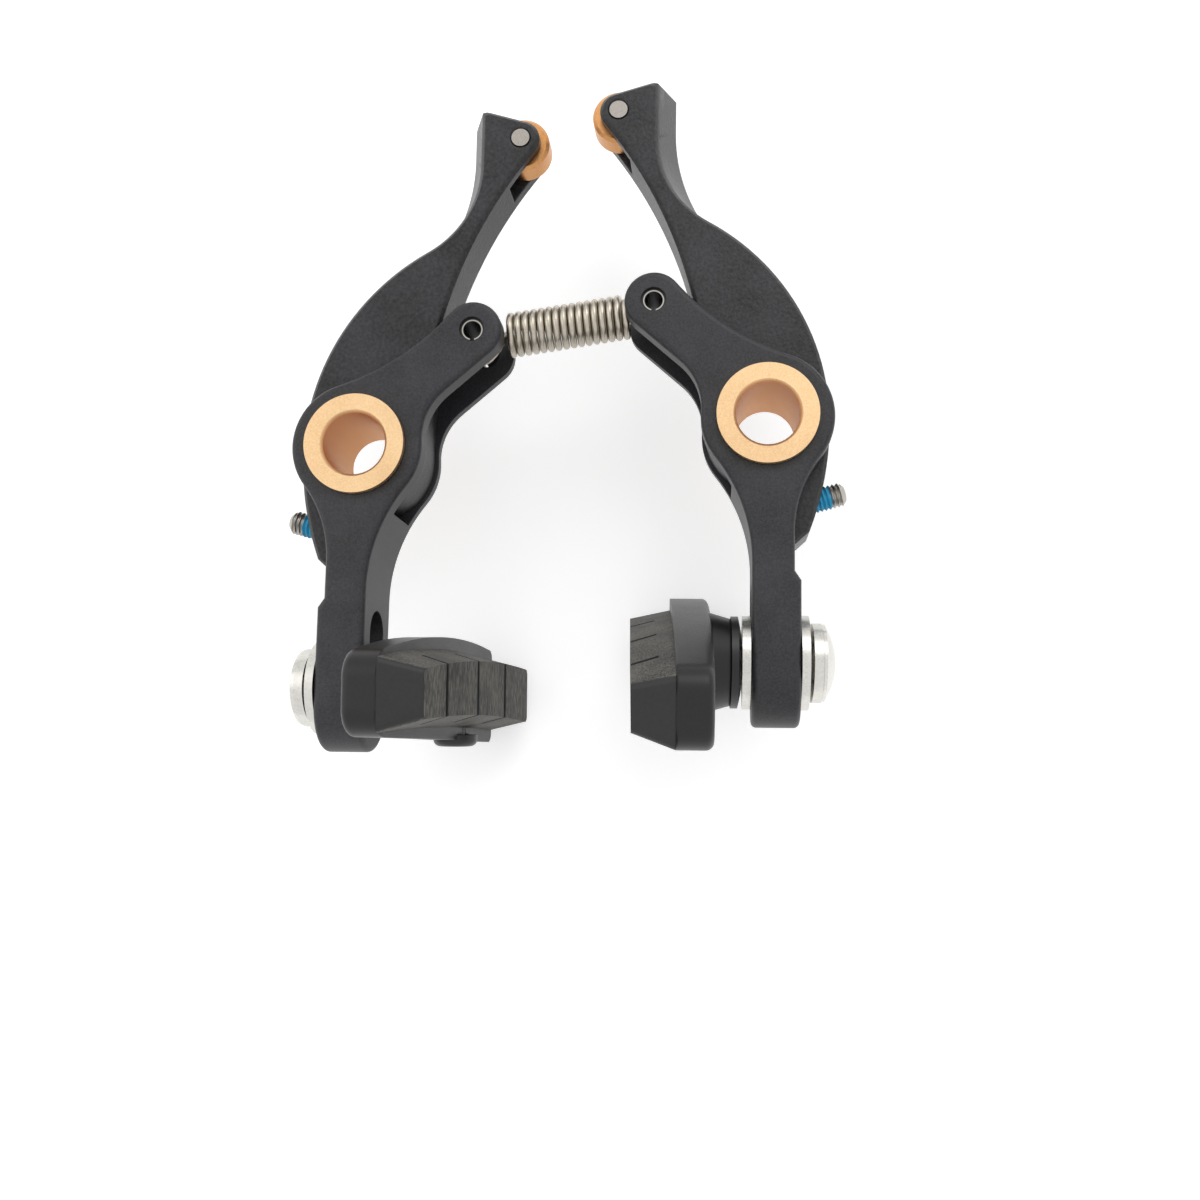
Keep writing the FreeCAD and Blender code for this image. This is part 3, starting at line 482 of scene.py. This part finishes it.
# %% Straight lever tops
LEVER_LEAN = math.radians(4.0)
NOSE = (24.5 * MM, 53.1 * MM)
NOSE_RADIUS = 3.1 * MM
TOP_FLOOR = 55.3 * MM
FRONT_CORNER = (18.0 * MM, 58.2 * MM)
REAR_CORNER = (15.3 * MM, 59.5 * MM)
CORNER_WEAR = 0.4 * MM
WEAR_REACH = 0.8 * MM
EDGE_BEVEL = 0.6 * MM


def top_height(across, share, inset):
    """Height of the straight top at a distance across the head, from front (0) to rear (1)."""
    corner_x, corner_z = (a + (b - a) * share for a, b in zip(FRONT_CORNER, REAR_CORNER))
    run, fall = NOSE[0] - corner_x, NOSE[1] - corner_z
    slope = math.atan2(fall, run) + math.asin(NOSE_RADIUS / math.hypot(run, fall))
    touch_x = NOSE[0] - NOSE_RADIUS * math.sin(slope)
    touch_z = NOSE[1] + NOSE_RADIUS * math.cos(slope)
    if across > touch_x:
        return None
    wear = CORNER_WEAR * max(0.0, 1 - (across - corner_x - inset) / WEAR_REACH)
    return touch_z + (across - touch_x) * math.tan(slope) - inset / math.cos(slope) - wear


print("front corner", round(top_height(FRONT_CORNER[0], 0, 0) / MM, 2), "mm above the pivot")

# %% Levers
for side in SIDES:
    node = side + "_lever"
    mesh = merged_copy(node, side + "_lever_blank")
    pivot = bush_middle[side]
    inward = 1 if side == "left" else -1
    low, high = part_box(node)
    lifted = 0
    for vertex in mesh.vertices:
        x, z = vertex.co.x - pivot.x, vertex.co.z - pivot.z
        across = inward * (x * math.cos(LEVER_LEAN) - z * math.sin(LEVER_LEAN))
        height = x * math.sin(LEVER_LEAN) + z * math.cos(LEVER_LEAN)
        behind = vertex.co.y - low.y
        share = max(0.0, (behind - EDGE_BEVEL) / (high.y - low.y - EDGE_BEVEL))
        inset = max(0.0, EDGE_BEVEL - behind)
        target = top_height(across, share, inset) if height > TOP_FLOOR else None
        if target:
            vertex.co.x += (target - height) * math.sin(LEVER_LEAN)
            vertex.co.z += (target - height) * math.cos(LEVER_LEAN)
            lifted += 1
    shade_by_angle(mesh)
    mesh.materials.append(lever_black)
    piece = add_piece(mesh)
    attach(piece, side + "_lever_body")
    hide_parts(node)
    print(piece.name, "points lifted", lifted)

# %% [markdown]
# ## The pads' rubber
# Only the faces that were ground have hairs. The two ends of each pad still have the smooth dark
# skin of the mould, so a merged copy of the pad's mesh carries two finishes, and each face takes
# its own by the way that it points.

# %% Rubber with skinned ends
END_TURN = 0.5
for side in SIDES:
    node = side + "_brake_pad"
    mesh = merged_copy(node, side + "_pad_rubber")
    shade_by_angle(mesh)
    mesh.materials.append(pad_rubber)
    mesh.materials.append(rubber_skin)
    for face in mesh.polygons:
        face.material_index = int(abs(face.normal.y) > END_TURN)
    piece = add_piece(mesh)
    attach(piece, side + "_pad_body")
    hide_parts(node)
    print(piece.name, "skinned faces", sum(face.material_index for face in mesh.polygons))

# %% [markdown]
# ## The return spring
# The real spring is close-wound stainless wire with an eye at each end round a spring pin. Its
# centre line is a helix that runs out into the eye. The line is worked out point by point, and a
# Geometry Nodes tree sweeps a round section along it, so wire thickness stays one named input.
# The spring is made in two halves that meet in the middle, one for each eye.

# %% Drawn-wire tree
def wire_tree(material):
    """Sweeps a round wire along the edges of a mesh line."""
    tree = bpy.data.node_groups.new("drawn_wire", "GeometryNodeTree")
    tree.interface.new_socket("Geometry", in_out="INPUT", socket_type="NodeSocketGeometry")
    tree.interface.new_socket("Wire Radius", in_out="INPUT", socket_type="NodeSocketFloat")
    tree.interface.new_socket("Sides", in_out="INPUT", socket_type="NodeSocketInt")
    tree.interface.new_socket("Geometry", in_out="OUTPUT", socket_type="NodeSocketGeometry")
    start = tree.nodes.new("NodeGroupInput").outputs
    end = tree.nodes.new("NodeGroupOutput")
    line = add_node(tree, "GeometryNodeMeshToCurve", Mesh=start["Geometry"])
    section = add_node(tree, "GeometryNodeCurvePrimitiveCircle", Radius=start["Wire Radius"],
                       Resolution=start["Sides"])
    sweep = add_node(tree, "GeometryNodeCurveToMesh", Curve=line.outputs["Curve"],
                     Profile_Curve=section.outputs["Curve"], Fill_Caps=True)
    smooth = add_node(tree, "GeometryNodeSetShadeSmooth", Geometry=sweep.outputs["Mesh"])
    realized = add_node(tree, "GeometryNodeRealizeInstances", Geometry=smooth.outputs["Geometry"])
    finish = add_node(tree, "GeometryNodeSetMaterial", Geometry=realized.outputs["Geometry"],
                      Material=material)
    feed_all(tree, end, Geometry=finish.outputs["Geometry"])
    return tree


drawn_wire = wire_tree(spring_steel)
print("wire tree with", len(drawn_wire.nodes), "nodes")


# %% From a tree to a plain mesh
def socket_id(tree, name):
    """Identifier of a tree's input, by which a modifier knows it."""
    return next(item.identifier for item in tree.interface.items_tree
                if item.name == name and item.in_out == "INPUT")


def baked(mesh, tree, values):
    """Runs a tree on a mesh and keeps the result as a plain mesh object at the origin."""
    name = mesh.name
    source = bpy.data.objects.new(name + "_source", mesh)
    scene.collection.objects.link(source)
    modifier = source.modifiers.new("shape", "NODES")
    modifier.node_group = tree
    for label, value in values.items():
        modifier[socket_id(tree, label)] = value
    evaluated = source.evaluated_get(bpy.context.evaluated_depsgraph_get())
    result = bpy.data.meshes.new_from_object(evaluated)
    bpy.data.objects.remove(source)
    bpy.data.meshes.remove(mesh)
    result.name = name
    return add_piece(result)


print("wire radius is input", socket_id(drawn_wire, "Wire Radius"))

# %% Where the spring lies
COIL_RISE = 1.0 * MM
TO_REAR = Vector((0, 1, 0))
pin_low, pin_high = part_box("left_spring_pin")
pin_radius = (pin_high.x - pin_low.x) / 2
eye_middle = {side: pin_middle[side].copy() for side in SIDES}
for middle in eye_middle.values():
    middle.y = middle_of("left_lever").y
spring_way = (eye_middle["right"] - eye_middle["left"]).normalized()
spring_up = spring_way.cross(TO_REAR)
spring_middle = (eye_middle["left"] + eye_middle["right"]) / 2 + spring_up * COIL_RISE
print("pins", round((eye_middle["right"] - eye_middle["left"]).length / MM, 2), "mm apart")

# %% Spring line
WIRE = 1.2 * MM
WIRE_SIDES = 12
COIL_RADIUS = 3.1 * MM
COILS = 16
COIL_LENGTH = 20.4 * MM
POINTS_PER_TURN = 40
OPEN_TURN = 0.2
LEAD_POINTS = 12
EYE_POINTS = 30
EYE_STEP = math.radians(10)
EYE_ROOM = 0.15 * MM
EYE_RADIUS = pin_radius + EYE_ROOM + WIRE / 2


def coil_points(way, hand):
    """Helix from the middle of the spring outwards, wound to the given hand."""
    turns = COILS / 2 - OPEN_TURN
    count = int(turns * POINTS_PER_TURN)
    points = []
    for number in range(count + 1):
        turn = turns * number / count
        angle = 2 * math.pi * turn * hand
        points.append(spring_middle + way * (COIL_LENGTH / COILS * turn)
                      + spring_up * (COIL_RADIUS * math.cos(angle))
                      + TO_REAR * (COIL_RADIUS * math.sin(angle)))
    return points


def lead_points(start, heading, end, arrival):
    """Hermite curve that leaves the coil and arrives at the eye along the two given ways."""
    span = (end - start).length
    points = []
    for number in range(1, LEAD_POINTS + 1):
        t = number / LEAD_POINTS
        leaving = start * (2 * t ** 3 - 3 * t ** 2 + 1) + heading * span * (t ** 3 - 2 * t ** 2 + t)
        arriving = end * (3 * t ** 2 - 2 * t ** 3) + arrival * span * (t ** 3 - t ** 2)
        points.append(leaving + arriving)
    return points


def eye_points(middle, way):
    """Open ring round a pin, from below it, out and over the top."""
    angles = [EYE_STEP * number - math.pi / 2 for number in range(1, EYE_POINTS + 1)]
    return [middle + way * (EYE_RADIUS * math.cos(angle)) + spring_up * (EYE_RADIUS * math.sin(angle))
            for angle in angles]


def half_spring(side):
    """Points from the middle of the spring out to its eye on one side."""
    hand = 1 if side == "right" else -1
    way = spring_way * hand
    points = coil_points(way, hand)
    heading = (points[-1] - points[-2]).normalized()
    below = eye_middle[side] - spring_up * EYE_RADIUS
    return points + lead_points(points[-1], heading, below, way) + eye_points(eye_middle[side], way)


print("points in half a spring", len(half_spring("left")))


# %% Spring halves
def line_mesh(name, points):
    """Mesh of points joined one after the other by edges."""
    mesh = bpy.data.meshes.new(name)
    edges = [(number, number + 1) for number in range(len(points) - 1)]
    mesh.from_pydata([tuple(point) for point in points], edges, [])
    return mesh


for side in SIDES:
    line = line_mesh(side + "_spring_wire", half_spring(side))
    piece = baked(line, drawn_wire, {"Wire Radius": WIRE / 2, "Sides": WIRE_SIDES})
    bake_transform(piece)
    print(piece.name, "faces", len(piece.data.polygons))
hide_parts("return_spring")

# %% [markdown]
# ## The set screws
# A headless screw with a fine thread spaces each lever from its leg. The thread is a rule: the
# radius rises and falls once per pitch, and the crest winds once round for each pitch. Rings of
# points follow that rule, with a hexagon socket at the outer end. A dab of blue thread lock covers
# the inner part, so each point also keeps how far along the screw it lies.

# %% Screw rings
SCREW_LENGTH = 12.0 * MM
SCREW_CREST = 1.98 * MM
SCREW_ROOT = 1.62 * MM
SCREW_PITCH = 0.7 * MM
SCREW_END = SCREW_ROOT * 0.75
SCREW_SOCKET = 2.0 * MM
SOCKET_DEPTH = 2.5 * MM
CAP_RADIUS = 0.2 * MM
RING_POINTS = 36
ROWS_PER_PITCH = 6


def hexagon_reach(angle, across_flats):
    """Distance from the axis to the wall of a hexagonal socket."""
    within = (angle + math.pi / 6) % (math.pi / 3) - math.pi / 6
    return across_flats / 2 / math.cos(within)


def thread_ring(height):
    """One ring of the thread, which narrows to a chamfer near both ends."""
    room = SCREW_END + min(height, SCREW_LENGTH - height)
    ring = []
    for point in range(RING_POINTS):
        phase = (height / SCREW_PITCH - point / RING_POINTS) % 1.0
        crest = SCREW_ROOT + (SCREW_CREST - SCREW_ROOT) * (1 - abs(2 * phase - 1))
        ring.append((min(crest, room), height))
    return ring


def screw_rings():
    """Rings from the inner end to the bottom of the socket: lists of (radius, height)."""
    rows = int(SCREW_LENGTH / SCREW_PITCH * ROWS_PER_PITCH)
    floor = SCREW_LENGTH - SOCKET_DEPTH
    angles = [2 * math.pi * point / RING_POINTS for point in range(RING_POINTS)]
    walls = [hexagon_reach(angle, SCREW_SOCKET) for angle in angles]
    rings = [[(CAP_RADIUS, 0.0)] * RING_POINTS]
    rings += [thread_ring(SCREW_LENGTH * row / rows) for row in range(rows + 1)]
    rings += [[(wall, height) for wall in walls] for height in (SCREW_LENGTH, floor)]
    rings.append([(CAP_RADIUS, floor)] * RING_POINTS)
    return rings


print("rings in a screw", len(screw_rings()))


# %% Skin over the rings
def ring_mesh(name, rings, place):
    """Closed skin over a stack of rings, with how far along each point lies."""
    points = []
    along = []
    for ring in rings:
        for number, (reach, height) in enumerate(ring):
            angle = 2 * math.pi * number / RING_POINTS
            points.append(place @ Vector((reach * math.cos(angle), reach * math.sin(angle), height)))
            along.append(height)
    faces = []
    for row in range(len(rings) - 1):
        low, high = row * RING_POINTS, (row + 1) * RING_POINTS
        for number in range(RING_POINTS):
            ahead = (number + 1) % RING_POINTS
            faces.append((low + number, low + ahead, high + ahead, high + number))
    last = (len(rings) - 1) * RING_POINTS
    faces.append(tuple(reversed(range(RING_POINTS))))
    faces.append(tuple(range(last, last + RING_POINTS)))
    mesh = bpy.data.meshes.new(name)
    mesh.from_pydata([tuple(point) for point in points], [], faces)
    attribute = mesh.attributes.new("along", "FLOAT", "POINT")
    attribute.data.foreach_set("value", along)
    return mesh


print("points in a ring", RING_POINTS)

# %% Thread-locked steel
LOCK_END = 9.6 * MM
LOCK_FADE = 0.1 * MM
LOCK_WANDER = 0.5 * MM
WANDERS_PER_METRE = 1400.0
screw_steel, tree, shader = new_material("screw_steel", Metallic=0.85)
along = add_node(tree, "ShaderNodeAttribute", {"attribute_name": "along"})
ragged = noise(tree, object_place(tree), Scale=WANDERS_PER_METRE, Detail=3.0)
wander = ramp(tree, ragged, To_Min=-LOCK_WANDER, To_Max=LOCK_WANDER)
edge = math_node(tree, "ADD", along.outputs["Fac"], wander)
locked = ramp(tree, edge.outputs["Value"], From_Min=LOCK_END + LOCK_FADE, From_Max=LOCK_END - LOCK_FADE)
shade = mix_colours(tree, locked, screen_colour(176, 172, 166), screen_colour(44, 152, 194))
bare = math_node(tree, "SUBTRACT", 1.0, locked)
dull = ramp(tree, locked, To_Min=0.3, To_Max=0.55)
feed_all(tree, shader, Base_Color=shade, Metallic=bare.outputs["Value"], Roughness=dull)
print("screw steel with", len(tree.nodes), "nodes")

# %% Screws
for side in SIDES:
    axis = Vector(joints[side + "_screw_feed"]["axis"]).normalized()
    foot = middle_of(side + "_set_screw") - axis * (SCREW_LENGTH / 2)
    place = Matrix.Translation(foot) @ axis.to_track_quat("Z", "Y").to_matrix().to_4x4()
    mesh = ring_mesh(side + "_screw_thread", screw_rings(), place)
    mesh.materials.append(screw_steel)
    piece = add_piece(mesh)
    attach(piece, side + "_screw_body")
    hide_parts(side + "_set_screw")
    print(piece.name, "faces", len(mesh.polygons))

# %% [markdown]
# ## The table and the light
# The brake lies on a white table, seen from above, so the table stands behind it in the brake's
# own frame. It is shown only from its front: from behind it is clear, and the back of the brake
# can be looked at. Large soft lamps and a pale world give the even light of the photograph. Rays
# that show the background see it whiter than the light that it sends to the brake.

# %% Table
TABLE_GAP = 1.5 * MM
TABLE_SIZE = 3.0
TABLE_GLOW = 0.4
ROOM_LIGHT = 0.8
WHITE = (1, 1, 1, 1)


def background_rays(tree):
    """One for a ray that shows the background, straight, in a gloss or through glass."""
    paths = tree.nodes.new("ShaderNodeLightPath")
    value = paths.outputs["Is Camera Ray"]
    for kind in ("Is Glossy Ray", "Is Transmission Ray"):
        value = math_node(tree, "MAXIMUM", value, paths.outputs[kind]).outputs["Value"]
    return value


table_y = cad_box[1][1] + TABLE_GAP
half = TABLE_SIZE / 2
corners = [(half * x, table_y, half * z) for x, z in ((-1, -1), (1, -1), (1, 1), (-1, 1))]
table_mesh = bpy.data.meshes.new("table")
table_mesh.from_pydata(corners, [], [(0, 1, 2, 3)])
table = add_piece(table_mesh)
print("table stands at y", round(table_y / MM, 1), "mm")

# %% One-sided white
table_white, tree, shader = new_material("table_white", Base_Color=(0.9, 0.9, 0.9, 1), Roughness=0.6,
                                         Emission_Color=WHITE)
glow = ramp(tree, background_rays(tree), To_Min=0.0, To_Max=TABLE_GLOW)
feed_all(tree, shader, Emission_Strength=glow)
front = shader.outputs["BSDF"]
back = tree.nodes.new("ShaderNodeBsdfTransparent").outputs["BSDF"]
from_behind = tree.nodes.new("ShaderNodeNewGeometry").outputs["Backfacing"]
one_sided = tree.nodes.new("ShaderNodeMixShader")
for socket, value in zip(one_sided.inputs, (from_behind, front, back)):
    feed(tree, socket, value)
feed_all(tree, tree.nodes["Material Output"], Surface=one_sided.outputs["Shader"])
table_mesh.materials.append(table_white)
print("table finish with", len(tree.nodes), "nodes")


# %% Lamps and world
def soft_lamp(name, place, size, power):
    """Round area lamp that shines on the middle of the brake."""
    lamp_data = bpy.data.lights.new(name, "AREA")
    lamp_data.shape = "DISK"
    lamp_data.size = size
    lamp_data.energy = power
    lamp = bpy.data.objects.new(name, lamp_data)
    lamp.matrix_world = aimed(place, (0, 0, 0))
    scene.collection.objects.link(lamp)


soft_lamp("key_lamp", place=(0.25, -0.6, 0.5), size=0.5, power=1.2)
soft_lamp("fill_lamp", place=(-0.5, -0.5, 0.2), size=0.6, power=0.6)
world = bpy.data.worlds.new("white_room")
scene.world = world
world.use_nodes = True
tree = world.node_tree
level = ramp(tree, background_rays(tree), To_Min=ROOM_LIGHT, To_Max=1.0)
feed_all(tree, tree.nodes["Background"], Color=WHITE, Strength=level)
scene.view_settings.view_transform = "Standard"
